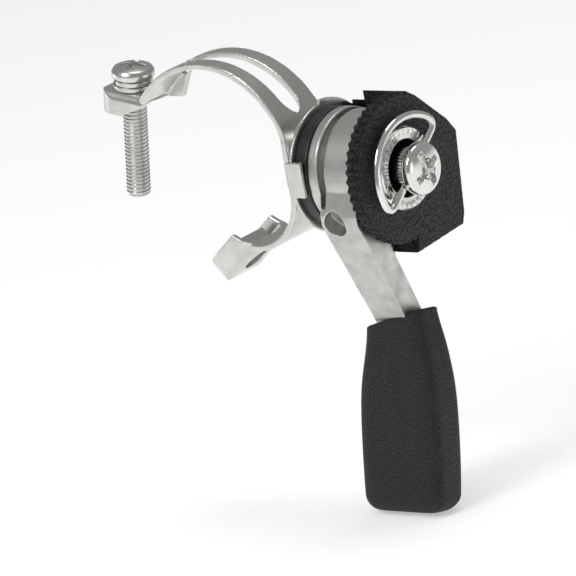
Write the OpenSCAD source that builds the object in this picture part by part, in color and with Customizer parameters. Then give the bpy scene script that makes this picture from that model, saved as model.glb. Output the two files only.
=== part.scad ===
// Friction thumb shifter for a bicycle handlebar, in millimetres.
// Origin: centre of the bar cradle. +X: lever axis, away from the bar. +Y: along the bar. +Z: up.

/* [Bar clamp] */
// Diameter of the handlebar
bar_d = 22.2; // [20:0.1:28]
// Thickness of the steel strip
strip_t = 1.3; // [1:0.1:1.6]
// Width of the strip at the plate and the lower arm
strip_w = 14; // [12:0.5:18]
// Width of the strip at the upper ear
ear_w = 9.6; // [9:0.2:12]
// Width of the slot along the upper arm
slot_w = 5; // [3:0.5:6]
// Length of the upper ear past its screw
upper_ear_len = 6.6; // [5.5:0.2:9]
// Tilt of the sprung-open upper ear and its screw
ear_tilt = 10; // [0:1:15]
// Length of the lower ear's floor
lower_ear_len = 14.5; // [12:0.5:18]
// Height of the lower ear's walls, floor included
lower_ear_h = 5.5; // [4:0.5:7]

/* [Clamp fasteners] */
// Thread diameter of the clamp screw
clamp_screw_d = 5; // [4:0.5:6]
// Length of the clamp screw under its head
clamp_screw_len = 26; // [20:0.5:35]
// Diameter of the clamp screw's head
clamp_head_d = 9; // [8:0.25:10]

/* [Pivot stack] */
// Height of the lever axis above the bar's centre
pivot_z = 4.1; // [0:0.1:8]
// Height of the base cup, from the strip to the face of its flange
cup_h = 5.4; // [4:0.2:9]
// Thickness of the cup's sheet
cup_t = 0.9; // [0.6:0.1:1]
// Diameter of the cup's flange
cup_d = 26.6; // [26.6:0.2:30]
// Diameter of the plastic stop ring
ring_d = 24.6; // [23.6:0.2:24.6]
// Thickness of the plastic stop ring
ring_t = 3; // [2:0.2:5]
// Diameter of the pivot post
post_d = 10; // [9.5:0.1:11]
// Width across the post's two flats
post_flats = 8; // [7:0.1:8.6]
// Thread diameter of the friction screw
screw_d = 5; // [4:0.5:5.5]

/* [Lever] */
// Width of the lever's drum along the axis
drum_w = 12.1; // [11:0.1:16]
// Diameter of the drum's inner flange
flange_d = 24.4; // [23.8:0.1:25]
// Thickness of the inner flange
flange_t = 2.5; // [1.8:0.1:3]
// Diameter of the drum's outer band
band_d = 23.8; // [23:0.1:24.2]
// Width of the cable groove
groove_w = 1.2; // [1.2:0.1:2.2]
// Diameter of the cable groove's floor
groove_d = 19.8; // [19:0.1:21]
// Diameter of the pocket for the cable's nipple
pocket_d = 5.2; // [4.5:0.1:5.6]
// Thickness of the lever's arm
arm_t = 5.8; // [5:0.1:7]
// Length of the lever from its axis to the end of the metal
lever_len = 64; // [55:1:80]

/* [Grip cap] */
// Length of the rubber cap
grip_len = 39; // [34:1:50]
// Width of the cap at its mouth
grip_w_top = 14.2; // [12.5:0.1:16]
// Width of the cap near its end
grip_w_end = 20.4; // [17:0.1:24]
// Thickness of the cap
grip_t = 9.2; // [7.6:0.1:11]

/* [Cover] */
// Diameter of the cover's toothed plate
cover_d = 30.8; // [29:0.2:34]
// Thickness of the cover's plate
cover_t = 2.8; // [2:0.1:4]
// Depth of the block behind the plate
block_depth = 8.2; // [6:0.2:10]
// Diameter of the cable housing
housing_d = 5; // [4:0.5:5.5]
// Diameter of the dial washer
dial_d = 17.2; // [15:0.2:18]
// Thickness of the dial washer
dial_t = 1; // [0.6:0.1:1.6]

/* [Friction screw and bail] */
// Diameter of the screw's knurled neck
neck_d = 9; // [8:0.2:9.4]
// Diameter of the screw's domed head
head_d = 10.8; // [10:0.2:13]
// Height of the head
head_h = 3.3; // [3.2:0.1:5]
// Diameter of the bail's wire
wire_d = 1.7; // [1.4:0.1:1.9]
// Width of the bail over its wire
bail_w = 25; // [22:0.2:28]
// Tilt of the folded bail towards the cover, in degrees
bail_fold = 6; // [0:1:7]

/* [Hidden] */
$fn = 96;
eps = 0.01;      // overlap of the pieces of one solid
over = 1;        // how far a cut runs past the solid
run_gap = 0.1;   // gap between faces that turn on each other
run_fit = 0.05;  // radial clearance of a shaft that turns in a hole
seat_fit = 0.02; // clearance of a piece that sits in another

bar_r = bar_d / 2;
base_x = bar_r + strip_t;                       // outer face of the strip's plate

// stack along the lever axis
cup_x = base_x + cup_h;                         // face of the cup's flange
ring_x = cup_x + ring_t;                        // face of the stop ring
drum_x = ring_x + run_gap;
groove_x = drum_x + flange_t;
band_x = groove_x + groove_w;
drum_end = drum_x + drum_w;
cover_x = drum_end + 0.2;                       // back of the cover's plate
dial_x = cover_x + cover_t;
dial_end = dial_x + dial_t;
washer_t = 0.6;                                 // fibre and inner steel washers
thrust_t = 1;                                   // outer steel washer
inner_bore_x = ring_x + 2 * washer_t + run_fit; // floor of the lever's inner counterbore
stack_end = cover_x - 0.6;                      // back of the cover's thick centre
spring_x = stack_end - 0.95;
thrust_x = spring_x - thrust_t;
fibre_x = thrust_x - washer_t;
outer_bore_x = fibre_x - run_fit;               // floor of the lever's outer counterbore
post_r = post_d / 2;
bush_r = post_r + 1.5;
friction_r = flange_d / 2 - 2.7;                // radius of the friction washers
bore_r = screw_d / 2;
post_floor = base_x + cup_t + 2;                // bottom of the post's threaded hole

// cover outline beyond the plate, as (Y, Z) about the lever axis
cover_r = cover_d / 2;
block = [[4.8, 0], [4.8, sqrt(pow(cover_r, 2) - pow(4.8, 2))], [7.6, 12.9], [16.1, 5.3],
    [18.5, 2.1], [16.6, -14.6], [15.6, -16.9], [-0.4, -17.9], [0.7, 0.1 - cover_r], [1, 0]];
block_x = cover_x - block_depth;
foot_r = cup_d / 2 + 0.1;
cable_angle = -35;                              // direction of the housing, from +Y
cable_r = groove_d / 2 + 0.6;                   // radius of the cable's centre line
seat_from = 10.2;                               // housing seat, from the cable's last contact
seat_to = 30;
cable_x = groove_x + groove_w / 2;

// lever arm: centre line in (Y, Z) about the axis
arm_x = groove_x - 0.1;
arm_w = 8.8;
arm_end_w = 7.6;
arm_root = [-13.2, -8.3];                       // top of the arm's near face
crank = [-3, -31];                              // foot of that face, where the arm bends inside the cap
arm_dir = (crank - arm_root) / norm(crank - arm_root);
arm_lean = atan2(arm_dir[0], -arm_dir[1]);
grip_wall = 0.7;                                // rubber over the arm's near face
grip_lean = -11.2;                              // lean of the cap from -Z towards -Y
arm_mid_x = arm_x + arm_w / 2 + 0.3;

// bail
wire_r = wire_d / 2;
bail_drop = 1.5;                                // centre of the bow's arc below the pivot line
bail_r = bail_w / 2 - wire_r;                   // radius of the bow's centre line
bail_dir = 36;                                  // pivot line, from +Y towards +Z
neck_x = cover_x + 0.45;                        // seat of the neck in the cover's recess
head_x = dial_end + 2.3;
bail_x = head_x - 1;
bail_hole_r = wire_r + run_fit;
recess_r = neck_d / 2 + 1.3;

// upper arm of the clamp, arcs in the XZ plane
plate_top = pivot_z + 7;
bend_r = 8;
bend_a = 27;
arch_r = 20;
rear_r = 23.2;
rear_a = 139;
bend_c = [bar_r - bend_r, plate_top];
arch_c = bend_c - (arch_r - bend_r) * [cos(bend_a), sin(bend_a)];
rear_c = arch_c - [0, rear_r - arch_r];
rear_end = rear_c + rear_r * [cos(rear_a), sin(rear_a)];
hole_from_bend = 6;                             // screw hole from the strip's last bend
out = [-cos(ear_tilt), sin(ear_tilt)];          // outward along the upper ear
screw_at = rear_end + hole_from_bend * out;     // screw axis on the ear's underside

// lower arm and ear
cradle_top = 12;                                // cradle's arc, degrees above the bar's centre
cradle_end = -99;
wall_end = -124;
low_dir = 219;                                  // direction of the lower ear
floor_at = bar_r * [cos(cradle_end), sin(cradle_end)];
low_round = 6.2;
nut_from = 7.5;                                 // thread's place along the lower ear
nut_w = 7.4;
nut_t = 3.2;

// ---------- helpers ----------

// children are drawn as (Y, Z) about the lever axis and run from x0 to x1
module slab(x0, x1) {
    translate([x0, 0, pivot_z]) rotate([90, 0, 90]) linear_extrude(x1 - x0) children();
}

// disc about the lever axis
module disc(x0, x1, r) {
    translate([x0, 0, pivot_z]) rotate([0, 90, 0]) cylinder(r = r, h = x1 - x0);
}

// solid turned about the lever axis from (radius, X) points
module turned(points) {
    translate([0, 0, pivot_z]) rotate([0, 90, 0]) rotate_extrude() polygon(points);
}

// children are drawn in the XZ plane and run across the strip
module across(w) {
    rotate([90, 0, 0]) linear_extrude(w, center = true) children();
}

// sector of a circle from angle a0 to a1
module sector(r, a0, a1) {
    n = ceil((a1 - a0) / 45);
    far = 2 * r;
    polygon(concat([[0, 0]], [for (i = [0:n]) let (a = a0 + (a1 - a0) * i / n) far * [cos(a), sin(a)]]));
}

// curved strip in the XZ plane, from the inner radius outwards
module strip_arc(c, r, a0, a1) {
    translate(c) intersection() {
        difference() {
            circle(r + strip_t);
            circle(r);
        }
        sector(r + strip_t, a0, a1);
    }
}

// points of an arc, from angle a0 to a1
function arc(c, r, a0, a1, n = 8) =
    [for (i = [0:n]) let (a = a0 + (a1 - a0) * i / n) c + r * [cos(a), sin(a)]];

// outline with a flat start and an end of two rounded corners, along +x
module ear_outline(from, to, w, r) {
    side = w / 2 - r;
    polygon(concat([[from, -w / 2]], arc([to - r, -side], r, -90, 0), arc([to - r, side], r, 0, 90),
        [[from, w / 2]]));
}

// frame of the upper ear: x outwards, z along the screw, origin on the ear's underside
module at_upper_ear() {
    translate([screw_at[0], 0, screw_at[1]]) rotate([0, ear_tilt, 0]) rotate([0, 0, 180]) children();
}

// frame of the lower ear: x outwards, z towards the bar, origin under the ear's floor
module at_lower_ear() {
    translate([floor_at[0], 0, floor_at[1]]) rotate([0, -low_dir, 0]) rotate([180, 0, 0])
        translate([0, 0, -strip_t]) children();
}

// post's section: a circle with two flats, grown by gap
module keyed(gap) {
    intersection() {
        circle(post_r + gap);
        square([post_flats + 2 * gap, post_d + 2], center = true);
    }
}

// ---------- clamp ----------

module upper_arm() {
    taper = [[base_x + 1, strip_w / 2], [rear_c[0], strip_w / 2 - 1.2], [rear_end[0] - 1.5, ear_w / 2 - 0.1]];
    outline = concat(taper, [for (i = [2:-1:0]) [taper[i][0], -taper[i][1]]]);
    slot_from = rear_c[0] - 7;
    slot_to = bar_r - 2.4;
    difference() {
        intersection() {
            across(strip_w) {
                translate([bar_r, 0]) square([strip_t, plate_top + eps]);
                strip_arc(bend_c, bend_r, 0, bend_a);
                strip_arc(arch_c, arch_r, bend_a, 90);
                strip_arc(rear_c, rear_r, 90, rear_a);
            }
            linear_extrude(60) polygon(outline);
        }
        translate([0, 0, plate_top + 3.5]) linear_extrude(40) {
            translate([slot_from, -slot_w / 2]) square([slot_to - slot_from, slot_w]);
            translate([slot_from, 0]) circle(slot_w / 2);
            translate([slot_to, 0]) circle(slot_w / 2);
        }
    }
}

// solid form of a pressed ear: rounded plan, floor at z = 0 and round bends along the floor's edges
module ear_form(from, to, w, h, plan_r, bend) {
    side = w / 2 + 0.05 - bend;
    end = to + 0.05 - bend;
    intersection() {
        linear_extrude(h) ear_outline(from, to, w, plan_r);
        translate([from - over, 0, 0]) rotate([90, 0, 90]) linear_extrude(to - from + 2 * over)
            polygon(concat(arc([-side, bend], bend, -180, -90, 6), arc([side, bend], bend, -90, 0, 6),
                [[side + bend, h + over], [-side - bend, h + over]]));
        across(2 * w) polygon(concat([[from - over, h + over], [from - over, 0]],
            arc([end, bend], bend, -90, 0, 6), [[end + bend, h + over]]));
    }
}

// ear of sheet: the form less the same form one sheet smaller
module pressed_ear(from, to, w, h, plan_r, bend) {
    difference() {
        ear_form(from, to, w, h, plan_r, bend);
        translate([0, 0, strip_t])
            ear_form(from - over, to - strip_t, w - 2 * strip_t, h, plan_r - strip_t, bend - strip_t);
    }
}

module upper_ear() {
    inner = -hole_from_bend;
    round = ear_w / 2 - 0.3;
    wall_in = 0.8;   // wall's depth at the bend
    wall_out = 3.9;  // wall's depth at the ear's end
    at_upper_ear() difference() {
        translate([0, 0, strip_t]) rotate([180, 0, 0])
            pressed_ear(inner, upper_ear_len, ear_w, strip_t + wall_out, round, 2.2);
        across(2 * strip_w) polygon([[inner - over, -wall_out - over], [inner + 1, -wall_out - over],
            [inner + 6, -wall_out + 0.2], [inner, -wall_in], [inner - over, -wall_in]]);
        translate([0, 0, -strip_t]) cylinder(d = clamp_screw_d + 0.5, h = 3 * strip_t);
    }
    // the far wall runs on under the arm
    translate([0, ear_w / 2 - strip_t / 2, 0]) across(strip_t)
        polygon([rear_end + [0.3, -0.9], rear_end + [3.9, -0.9], rear_end + [6.7, 4.6], rear_end + [3, 3.2],
            rear_end + [-1, 0.6]]);
}

module lower_ear() {
    at_lower_ear() difference() {
        pressed_ear(-1.6, lower_ear_len, strip_w - 0.2, lower_ear_h, low_round, 3.2);
        translate([0, 0, -over]) linear_extrude(lower_ear_h)
            translate([nut_from, 0]) circle(d = clamp_screw_d + 0.5);
    }
}

module clamp_band() {
    color("silver") difference() {
        union() {
            upper_arm();
            upper_ear();
            across(strip_w) {
                intersection() {
                    circle(base_x);
                    sector(base_x, cradle_end + 1, cradle_top);
                }
                cradle_plate();
            }
            lower_ear();
        }
        across(2 * strip_w) circle(bar_r);
        disc(bar_r - over, base_x + over, 4 + seat_fit);
    }
}

// plate between the cradle's arc and the upper arm
module cradle_plate() {
    top = bar_r * [cos(cradle_top), sin(cradle_top)];
    polygon([top, [bar_r, plate_top], [base_x, plate_top], [base_x, 0], [top[0] + 0.4, 0.6]]);
}

module clamp_nut() {
    color("silver") at_lower_ear() translate([nut_from, 0, strip_t + 0.05]) difference() {
        translate([-nut_w / 2, -nut_w / 2, 0]) cube([nut_w, nut_w, nut_t]);
        translate([0, 0, -over]) cylinder(d = clamp_screw_d - 0.8, h = nut_t + 2 * over);
    }
}

module clamp_flat_washer() {
    color("silver") at_upper_ear() translate([0, 0, strip_t]) difference() {
        cylinder(d = clamp_head_d - 0.4, h = 1);
        translate([0, 0, -over]) cylinder(d = clamp_screw_d + 0.4, h = 3);
    }
}

module clamp_lock_washer() {
    color("silver") at_upper_ear() translate([0, 0, strip_t + 1]) difference() {
        cylinder(d = clamp_head_d - 0.8, h = 1.25);
        translate([0, 0, -over]) cylinder(d = clamp_screw_d + 0.3, h = 4);
        rotate([0, 0, 60]) translate([0, -0.3, -over]) cube([clamp_head_d, 0.6, 4]);
    }
}

module clamp_screw() {
    under_head = strip_t + 1 + 1.25;
    head_h = 3.2;
    r = clamp_head_d / 2;
    thread_r = clamp_screw_d / 2;
    color("silver") at_upper_ear() translate([0, 0, under_head]) difference() {
        union() {
            rotate_extrude() polygon([[0, 0], [r - 0.5, 0], [r, 0.6], [r, 1.5], [r - 0.7, 2.4],
                [r - 2.1, 3], [0, head_h]]);
            translate([0, 0, -clamp_screw_len + 0.5]) cylinder(d = clamp_screw_d, h = clamp_screw_len);
            translate([0, 0, -clamp_screw_len])
                rotate_extrude() polygon([[0, 0], [thread_r - 0.5, 0], [thread_r, 0.6], [0, 0.6]]);
        }
        for (a = [20, 110]) rotate([0, 0, a]) translate([-2.6, -0.5, head_h - 1.9]) cube([5.2, 1, 4]);
    }
}

// ---------- base and pivot ----------

module base_cup() {
    floor_r = 7.6;
    wall_r = 9.6;
    r = cup_d / 2;
    tab = [-2.6, 4.8];   // heights of the tab's sides about the axis
    tongue = concat([[2, 0]], arc([0, 0], 13.9, 92, 48, 10), [[15.2, 8], [15.2, 3], [11, -4]]);
    color("silver") difference() {
        union() {
            turned([[0, base_x], [floor_r, base_x], [wall_r, cup_x - cup_t], [r - 0.25, cup_x - cup_t],
                [r, cup_x - cup_t + 0.2], [r, cup_x - 0.2], [r - 0.25, cup_x], [wall_r - 0.7, cup_x],
                [floor_r - 0.7, base_x + cup_t], [0, base_x + cup_t]]);
            // locating tab, bent up from the rim
            slab(cup_x - cup_t, ring_x - 0.3) translate([-r, tab[0]]) square([cup_t, tab[1] - tab[0]]);
            slab(cup_x - cup_t, cup_x) translate([-r, tab[0]]) square([4, tab[1] - tab[0]]);
            // tongue that carries the cover's block
            slab(cup_x - cup_t, cup_x) difference() {
                polygon(tongue);
                circle(wall_r);
            }
        }
        disc(base_x - over, base_x + 2 * over, 4 + seat_fit);
    }
}

module pivot_post() {
    color("dimgray") difference() {
        union() {
            turned([[0, bar_r + 0.1], [4, bar_r + 0.1], [4, base_x + cup_t], [6.6, base_x + cup_t],
                [6.6, cup_x], [0, cup_x]]);
            slab(cup_x - eps, thrust_x + thrust_t + 0.3) keyed(0);
        }
        disc(post_floor, thrust_x + over + thrust_t, bore_r);
    }
}

module stop_ring() {
    r = ring_d / 2;
    color("black") turned([[post_r + seat_fit, cup_x], [r, cup_x], [r, ring_x - 0.3], [r - 0.3, ring_x],
        [post_r + seat_fit, ring_x]]);
}

// washer keyed on the post's flats
module keyed_washer(x, t, r) {
    slab(x, x + t) difference() {
        circle(r);
        keyed(seat_fit);
    }
}

module inner_thrust_washer() { color("gray") keyed_washer(ring_x, washer_t, friction_r); }

module inner_friction_washer() { color("brown") keyed_washer(ring_x + washer_t, washer_t, friction_r); }

module outer_friction_washer() { color("brown") keyed_washer(fibre_x, washer_t, friction_r - 0.6); }

module outer_thrust_washer() { color("gray") keyed_washer(thrust_x, thrust_t, friction_r - 0.6); }

module spring_washer() {
    r0 = post_r + 0.2;
    r1 = friction_r - 1;
    t = 0.5;
    rise = stack_end - spring_x - t;
    color("gray") turned([[r0, spring_x + rise], [r1 - 0.3, spring_x], [r1, spring_x], [r1, spring_x + t],
        [r0 + 0.3, spring_x + rise + t], [r0, spring_x + rise + t]]);
}

// ---------- lever ----------

// arm's side outline in (Y, Z) about the axis: near face first, then back up the far face
module arm_side() {
    normal = [-arm_dir[1], arm_dir[0]];
    foot = crank + 3 * arm_dir;
    far1 = foot + (arm_t - 0.6) * normal;
    far0 = arm_root + 6 * arm_dir + (arm_t + 0.4) * normal;
    polygon([[-band_d / 2 + 0.3, -1], arm_root + [0, 2], arm_root, foot, far1, far0,
        [0, -band_d / 2 + 2], [0, -4], [-8, -1]]);
}

// paddle inside the rubber cap, continuing the arm
module paddle() {
    dir = [sin(grip_lean), -cos(grip_lean)];
    normal = [-dir[1], dir[0]];
    len = (lever_len - norm(crank));
    a = crank + 0.5 * normal;
    b = a + len * dir;
    slab(arm_mid_x - arm_end_w / 2, arm_mid_x + arm_end_w / 2)
        polygon([a - 1.5 * dir, b, b + 4 * normal, a + 4.4 * normal - 1.5 * dir]);
}

module lever() {
    flange_r = flange_d / 2;
    band_r = band_d / 2;
    groove_r = groove_d / 2;
    taper = (arm_w - arm_end_w) / 2;
    axis_pocket = [-12.2, -7.9];
    color("lightgray") difference() {
        union() {
            turned([[bush_r, inner_bore_x], [friction_r + 0.2, inner_bore_x], [friction_r + 0.2, drum_x],
                [flange_r - 0.3, drum_x], [flange_r, drum_x + 0.3], [flange_r, groove_x - 0.3],
                [flange_r - 0.2, groove_x], [groove_r, groove_x], [groove_r, band_x], [band_r - 0.3, band_x],
                [band_r, band_x + 0.5], [band_r, drum_end - 0.2],
                [band_r - 0.2, drum_end], [friction_r - 0.4, drum_end], [friction_r - 0.4, outer_bore_x],
                [bush_r, outer_bore_x]]);
            intersection() {
                slab(arm_x, drum_end) difference() {
                    arm_side();
                    circle(groove_r - 1);
                }
                translate([0, 0, pivot_z]) across(60)
                    polygon([[arm_x, 4], [drum_end - 0.6, 4], [drum_end - 0.6, -15], [arm_x + arm_w, -18],
                        [arm_mid_x + arm_end_w / 2, -60], [arm_mid_x - arm_end_w / 2, -60], [arm_x, -12]]);
            }
            paddle();
        }
        // pocket for the cable's nipple, open to the near side
        translate([band_x + 1.9, axis_pocket[0], pivot_z + axis_pocket[1]]) rotate([90 + arm_lean, 0, 0])
            translate([0, 0, -2.2]) cylinder(d = pocket_d, h = 12);
        // groove runs on into the pocket
        slab(groove_x, band_x) difference() {
            translate([-30, axis_pocket[1] + 3]) square([30, 9]);
            circle(groove_r);
        }
    }
}

module lever_bush() {
    color("ivory") turned([[post_r + run_fit, inner_bore_x], [bush_r, inner_bore_x], [bush_r, outer_bore_x],
        [post_r + run_fit, outer_bore_x]]);
}

// cap's outline seen along Y, widening towards its end
module cap_front() {
    r = 3.4;
    w0 = grip_w_top / 2;
    w1 = grip_w_end / 2;
    low = r - grip_len;
    polygon(concat([[-w1, -22], [0.5 - w1, -14], [-w0, -2.1], [w0, 2.1], [w0 + 1.6, -8], [w1 - 0.4, -15],
            [w1, -22]],
        arc([w1 - r, low], r, 0, -90), arc([r - w1, low], r, -90, -180)));
}

// cap's outline seen along X; the near face is crowned
module cap_side() {
    r = 2.6;
    polygon([[0, 2.6], [grip_t - 1.4, 2.6], [grip_t - 0.2, -8], [grip_t, -16], [grip_t, -grip_len + r],
        [grip_t - 0.7, -grip_len + 0.8], [grip_t - r, -grip_len], [r, -grip_len], [0.7, -grip_len + 0.8],
        [0, -grip_len + r]]);
}

module grip_cap() {
    color("black") difference() {
        translate([arm_mid_x, crank[0] - grip_wall, pivot_z + crank[1]]) rotate([grip_lean, 0, 0])
            intersection() {
                across(40) cap_front();
                translate([-20, 0, 0]) rotate([90, 0, 90]) linear_extrude(40) cap_side();
            }
        lever();
    }
}

// ---------- cover and friction screw ----------

// plate with small teeth along its free edge
module toothed_plate() {
    teeth = 27;
    depth = 0.7;
    from = 70;
    step = (270 - from) / (2 * teeth);
    polygon(concat(
        [for (i = [0:2 * teeth]) let (a = from + i * step) (cover_r - (i % 2) * depth) * [cos(a), sin(a)]],
        [[6, 0]]));
}

// straight run of the cable from its last contact with the drum; z is along the housing
module at_cable() {
    a = 90 + cable_angle;
    translate([cable_x, cable_r * cos(a), pivot_z + cable_r * sin(a)])
        rotate([-90 + cable_angle, 0, 0]) children();
}

module cover() {
    clear_r = flange_d / 2 + 0.35;
    boss_r = friction_r - 1;
    color("black") difference() {
        union() {
            slab(cover_x, dial_x) {
                toothed_plate();
                polygon(block);
            }
            slab(block_x, cover_x + eps) difference() {
                polygon(block);
                circle(clear_r);
            }
            slab(cup_x, block_x + eps) difference() {
                intersection() {
                    polygon(block);
                    translate([9.6, -7]) square([20, 18]);
                }
                circle(foot_r);
            }
            disc(stack_end, cover_x + eps, boss_r);
        }
        disc(neck_x, dial_x + over, recess_r);
        disc(stack_end - over, dial_x + over, bore_r + 0.15);
        at_cable() {
            translate([0, 0, seat_from]) cylinder(d = housing_d + 0.1, h = seat_to);
            cylinder(d = 1.8, h = seat_to);
        }
    }
}

module dial_washer() {
    r = dial_d / 2;
    color("silver") turned([[recess_r, dial_x], [r, dial_x], [r, dial_x + 0.35], [r - 0.5, dial_end],
        [r - 0.9, dial_end - 0.1], [recess_r, dial_end - 0.35]]);
}

// frame of the bail: x along its pivot line, y into the bow
module at_bail() {
    translate([bail_x, 0, pivot_z]) rotate([90, 0, 90]) rotate([0, 0, bail_dir]) children();
}

module adjust_screw() {
    r = head_d / 2;
    neck_r = neck_d / 2;
    top = head_x + head_h;
    color("silver") difference() {
        turned([[0, post_floor + 0.4], [bore_r - run_fit - 0.4, post_floor + 0.4],
            [bore_r - run_fit, post_floor + 0.9], [bore_r - run_fit, neck_x], [neck_r, neck_x],
            [neck_r, head_x], [r - 0.4, head_x], [r, head_x + 0.5], [r, top - 1.5],
            [r - 0.6, top - 0.8], [r - 2, top - 0.3], [0, top]]);
        slab(top - 1.1, top + over) for (a = [25, 115]) rotate(a) square([1.5, 6.4], center = true);
        at_bail() rotate([0, 90, 0]) cylinder(r = bail_hole_r, h = 3 * r, center = true);
    }
}

module d_ring() {
    end = sqrt(pow(bail_r, 2) - pow(bail_drop, 2));
    inner_end = 2.2;
    bow_t = wire_d - 0.2;
    color("silver") at_bail() rotate([-bail_fold, 0, 0]) union() {
        for (x = [inner_end, -end - wire_r / 2]) translate([x, 0, 0]) rotate([0, 90, 0])
            cylinder(r = wire_r, h = end + wire_r / 2 - inner_end);
        translate([0, -bail_drop, -bow_t / 2]) linear_extrude(bow_t) intersection() {
            difference() {
                circle(bail_r + wire_r);
                circle(bail_r - wire_r);
            }
            translate([-bail_w, bail_drop - wire_r + 0.1]) square(2 * bail_w);
        }
    }
}

clamp_band();
clamp_nut();
clamp_screw();
clamp_lock_washer();
clamp_flat_washer();
base_cup();
pivot_post();
stop_ring();
inner_thrust_washer();
inner_friction_washer();
lever();
lever_bush();
grip_cap();
outer_friction_washer();
outer_thrust_washer();
spring_washer();
cover();
dial_washer();
adjust_screw();
d_ring();
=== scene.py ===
"""Visual model of a friction thumb shifter on a slotted handlebar clamp.

Lengths in the classes are millimetres, as in the frame; meshes are stored in metres.
"""

import logging
import math
from dataclasses import dataclass
from enum import Enum
from typing import Callable, Dict, List, Optional, Sequence, Tuple

import bmesh
import bpy
import numpy as np
from mathutils import Matrix, Vector


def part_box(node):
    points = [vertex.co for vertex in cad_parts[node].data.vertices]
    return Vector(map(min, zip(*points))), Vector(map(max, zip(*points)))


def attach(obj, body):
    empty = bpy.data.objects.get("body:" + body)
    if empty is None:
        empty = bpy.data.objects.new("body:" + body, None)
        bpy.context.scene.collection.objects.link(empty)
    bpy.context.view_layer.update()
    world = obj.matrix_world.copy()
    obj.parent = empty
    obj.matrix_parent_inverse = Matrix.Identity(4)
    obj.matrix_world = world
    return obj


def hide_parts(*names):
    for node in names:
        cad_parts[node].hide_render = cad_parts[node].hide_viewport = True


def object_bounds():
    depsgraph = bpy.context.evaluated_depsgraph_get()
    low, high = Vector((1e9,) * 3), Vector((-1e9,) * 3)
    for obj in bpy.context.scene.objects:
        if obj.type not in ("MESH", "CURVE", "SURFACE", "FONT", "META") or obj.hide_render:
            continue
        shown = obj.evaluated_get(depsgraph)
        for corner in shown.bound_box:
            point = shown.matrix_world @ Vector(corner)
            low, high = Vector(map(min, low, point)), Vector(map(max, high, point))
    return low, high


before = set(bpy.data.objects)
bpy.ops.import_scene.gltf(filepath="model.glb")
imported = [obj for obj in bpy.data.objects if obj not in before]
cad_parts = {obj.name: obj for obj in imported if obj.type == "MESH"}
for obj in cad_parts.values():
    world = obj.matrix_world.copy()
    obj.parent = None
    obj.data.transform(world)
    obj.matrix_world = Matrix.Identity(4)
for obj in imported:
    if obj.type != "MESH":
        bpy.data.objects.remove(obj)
cad_low, cad_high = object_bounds()

Array = np.ndarray
MM = 0.001
TURN = 2 * math.pi
WELD = 1e-7  # metres between points that are one
log = logging.getLogger("thumb_shifter")


class Body(Enum):
    """Bodies of the frame that the pieces ride on."""

    FRAME = "frame"
    LEVER = "lever"
    ADJUST_SCREW = "adjust_screw"
    BAIL = "d_ring"
    CLAMP_WASHERS = "clamp_washers"
    CLAMP_SCREW = "clamp_screw"


# ---------- frames and profiles ----------


@dataclass(frozen=True)
class Box:
    """Box of a frame node, in millimetres."""

    low: Array
    high: Array

    @staticmethod
    def of(node: str) -> "Box":
        """Box of the node at rest."""
        low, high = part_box(node)
        return Box(np.array(low) / MM, np.array(high) / MM)

    @property
    def centre(self) -> Array:
        """Middle of the box."""
        return (self.low + self.high) / 2


@dataclass(frozen=True)
class Axes:
    """Local frame: an origin and three unit vectors as rows."""

    origin: Array
    rows: Array

    def place(self, points: Array) -> Array:
        """Points of the local frame, moved into the shared frame."""
        return self.origin + points @ self.rows

    @staticmethod
    def along(origin: Sequence[float], axis: Sequence[float], side: Sequence[float]) -> "Axes":
        """Frame whose third row is the axis.

        Args:
            origin: place of the frame's origin.
            axis: direction of the third row.
            side: direction near the first row.

        Returns:
            The frame, with its rows at right angles.
        """
        z = np.array(axis, float) / np.linalg.norm(axis)
        x = np.array(side, float)
        x = x - (x @ z) * z
        x = x / np.linalg.norm(x)
        return Axes(np.array(origin, float), np.array([x, np.cross(z, x), z]))


def lever_axes(x: float) -> Axes:
    """Frame on the lever's axis at X = x: first row +Y, second row +Z, third row +X."""
    centre = Box.of("dial_washer").centre
    return Axes.along([x, centre[1], centre[2]], [1, 0, 0], [0, 1, 0])


def fillet(points: Sequence[Sequence[float]], radius: float, steps: int = 5, closed: bool = True) -> Array:
    """Rounds each corner of an outline with a quadratic curve.

    The curve leaves the corner's two sides at the radius, or at 45 % of the shorter side, and the
    corner is its control point: q(t) = (1-t)^2 a + 2 t (1-t) p + t^2 b.

    Args:
        points: corners of the outline.
        radius: distance from the corner at which the curve starts.
        steps: points on each curve.
        closed: whether the last corner joins the first.

    Returns:
        Points of the rounded outline.
    """
    p = np.array(points, float)
    back, ahead = np.roll(p, 1, 0) - p, np.roll(p, -1, 0) - p
    lb, la = np.linalg.norm(back, axis=1), np.linalg.norm(ahead, axis=1)
    if not closed:
        lb[0] = la[0] if la[0] > 0 else 1
        la[-1] = lb[-1]
    reach = np.minimum(radius, 0.45 * np.minimum(lb, la))[:, None]
    a = p + back / lb[:, None] * reach
    b = p + ahead / la[:, None] * reach
    t = np.linspace(0, 1, steps)[None, :, None]
    q = (1 - t) ** 2 * a[:, None] + 2 * t * (1 - t) * p[:, None] + t**2 * b[:, None]
    if closed:
        return q.reshape(-1, p.shape[1])
    return np.vstack([p[:1], q[1:-1].reshape(-1, p.shape[1]), p[-1:]])


def smooth_step(x: Array, low: float, high: float) -> Array:
    """0 below low, 1 above high and 3t^2 - 2t^3 between them."""
    t = np.clip((x - low) / (high - low), 0, 1)
    return t * t * (3 - 2 * t)


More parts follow.
